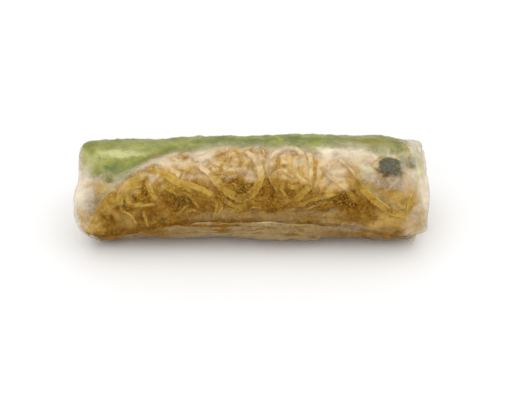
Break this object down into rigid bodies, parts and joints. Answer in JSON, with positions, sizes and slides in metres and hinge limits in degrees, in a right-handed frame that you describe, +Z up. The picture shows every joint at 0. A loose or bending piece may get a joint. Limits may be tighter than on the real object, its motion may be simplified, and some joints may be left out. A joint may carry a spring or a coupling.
{
  "type": "rice paper roll",
  "caption": "Fresh roll: a soaked translucent rice paper sheet wound round lettuce, noodles, minced filling and mushroom.",
  "frame": {"origin": "middle of the flat strip underneath that the roll rests on", "axes": "+X along the roll, towards the end with the black mushroom; +Y from the front, where the sheet's free edge lies, to the back; +Z up"},
  "size_m": [0.1268, 0.0391, 0.0332],
  "materials": {
    "rice_paper": "wet, translucent, faintly grained rice paper film, milky where it lies in several layers",
    "lettuce": "soft wet green leaf with pale veins, seen through the film",
    "noodles": "wet, translucent amber noodles",
    "minced_filling": "moist, coarse brown mince with darker crumbs",
    "black_mushroom": "smooth, wet, nearly black mushroom skin"
  },
  "bodies": {
    "root": {"rice_paper": "rice_paper", "lettuce": "lettuce", "noodles": "noodles", "minced_filling": "minced_filling", "black_mushroom": "black_mushroom"}
  },
  "joints": []
}
